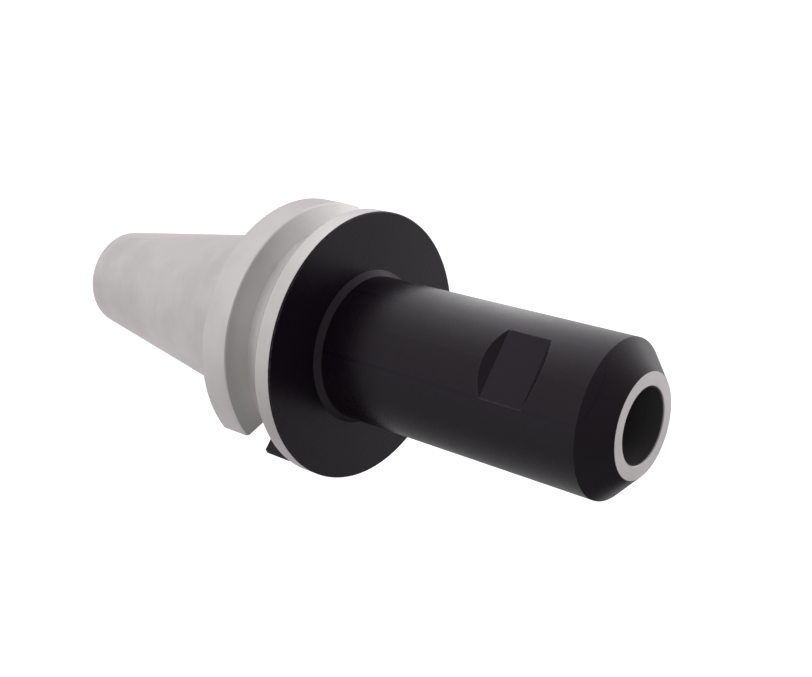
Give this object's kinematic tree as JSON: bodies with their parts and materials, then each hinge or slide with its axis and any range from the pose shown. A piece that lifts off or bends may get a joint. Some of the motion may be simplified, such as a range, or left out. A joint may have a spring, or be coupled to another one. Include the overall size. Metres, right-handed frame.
{
  "type": "endmill holder",
  "caption": "Side-lock endmill holder with a steep taper shank, a V-grooved flange with drive slots, a slim black cylindrical body, a coned nose and set screws that clamp the cutter.",
  "frame": {"origin": "centre of the taper's gauge plane, where the taper is 69.85 mm across", "axes": "+Z along the tool axis towards the nose; +X through the blank milled flat; the drive slots face +Y and -Y; the set screws come in from -X"},
  "size_m": [0.1, 0.1, 0.2542],
  "materials": {
    "holder_steel": "taper, rims, groove and nose face fine ground; flange face, body and nose cone satin black oxide",
    "screw_steel": "black oxide"
  },
  "bodies": {
    "holder": {"holder_body": "holder_steel"},
    "front_screw": {"front_set_screw": "screw_steel"},
    "rear_screw": {"rear_set_screw": "screw_steel"}
  },
  "joints": [
    {"name": "front_screw_feed", "type": "slide", "parent": "holder", "child": "front_screw", "axis": [1, 0, 0], "range_m": [-0.008, 0.0023]},
    {"name": "rear_screw_feed", "type": "slide", "parent": "holder", "child": "rear_screw", "axis": [1, 0, 0], "range_m": [-0.008, 0.0023]}
  ]
}
